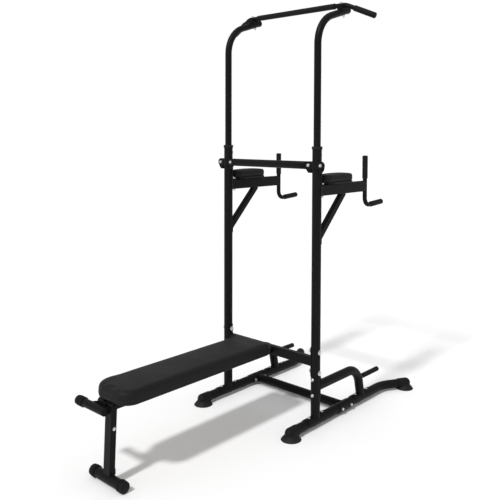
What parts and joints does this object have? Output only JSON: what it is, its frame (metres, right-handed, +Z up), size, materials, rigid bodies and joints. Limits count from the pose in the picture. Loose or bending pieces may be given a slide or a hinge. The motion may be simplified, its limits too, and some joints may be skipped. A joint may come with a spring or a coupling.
{
  "type": "power tower",
  "caption": "Free-standing power tower with a telescoping pull-up bar, padded dip arms, push-up pegs and a fold-up sit-up bench.",
  "frame": {"origin": "on the floor, under the middle of the whole object", "axes": "+Z up, +X to the right-hand post, +Y from the bench towards the dip arms and push-up pegs"},
  "size_m": [1.0392, 1.968, 2.2666],
  "materials": {
    "frame_paint": "satin black powder coat",
    "boot_rubber": "matt moulded rubber",
    "grip_rubber": "matt foam rubber",
    "black_plastic": "fine moulded texture",
    "guide_nylon": "plain nylon",
    "pad_leather": "grained synthetic leather",
    "board_wood": "raw plywood",
    "bolt_zinc": "zinc plated"
  },
  "bodies": {
    "base": {"arch_bolts": "bolt_zinc", "arch_brace_left": "frame_paint", "arch_brace_right": "frame_paint", "arm_board_left": "black_plastic", "arm_board_right": "black_plastic", "arm_bolts": "bolt_zinc", "arm_pad_left": "pad_leather", "arm_pad_right": "pad_leather", "backing_plate_left": "frame_paint", "backing_plate_right": "frame_paint", "base_bolts": "bolt_zinc", "base_tube_left": "frame_paint", "base_tube_right": "frame_paint", "clamp_bolts": "bolt_zinc", "cross_bolts": "bolt_zinc", "crossbar": "frame_paint", "crossbar_bolts": "bolt_zinc", "dip_arm_left": "frame_paint", "dip_arm_right": "frame_paint", "dip_grip_left": "grip_rubber", "dip_grip_right": "grip_rubber", "front_boot_left": "boot_rubber", "front_boot_right": "boot_rubber", "height_locks": "bolt_zinc", "hinge_pin": "frame_paint", "lower_cross_tube": "frame_paint", "lower_dip_grip_left": "grip_rubber", "lower_dip_grip_right": "grip_rubber", "post_collar_left": "black_plastic", "post_collar_right": "black_plastic", "post_left": "frame_paint", "post_right": "frame_paint", "pushup_grip_left": "grip_rubber", "pushup_grip_right": "grip_rubber", "rear_boot_left": "boot_rubber", "rear_boot_right": "boot_rubber", "upper_cross_bar": "frame_paint"},
    "upper_frame": {"bar_bolts": "bolt_zinc", "centre_grip": "grip_rubber", "neck_cap_left": "black_plastic", "neck_cap_right": "black_plastic", "outer_bar_grip_left": "grip_rubber", "outer_bar_grip_right": "grip_rubber", "pull_up_bar": "frame_paint", "tube_guides": "guide_nylon", "upper_tube_left": "frame_paint", "upper_tube_right": "frame_paint"},
    "bench": {"bench_board": "board_wood", "bench_channel": "frame_paint", "bench_pad": "pad_leather", "bench_plates": "frame_paint", "leg_pivot_bolt": "frame_paint", "pad_screws": "bolt_zinc"},
    "front_leg": {"bench_leg": "frame_paint", "foot_cap_left": "boot_rubber", "foot_cap_right": "boot_rubber", "leg_bolt": "bolt_zinc", "leg_spacers": "guide_nylon", "toe_cap": "boot_rubber"},
    "knob": {"clamp_knob": "black_plastic"}
  },
  "joints": [
    {"name": "height_slide", "type": "slide", "parent": "base", "child": "upper_frame", "axis": [0, 0, 1], "range_m": [-0.35, 0]},
    {"name": "bench_fold", "type": "hinge", "parent": "base", "child": "bench", "pos_m": [0, 0.092, 0.352], "axis": [-1, 0, 0], "range_deg": [0, 78]},
    {"name": "leg_fold", "type": "hinge", "parent": "bench", "child": "front_leg", "pos_m": [0, -0.923, 0.352], "axis": [1, 0, 0], "range_deg": [0, 80]},
    {"name": "knob_turn", "type": "hinge", "parent": "bench", "child": "knob", "pos_m": [-0.057, -0.923, 0.352], "axis": [-1, 0, 0], "continuous": true}
  ]
}
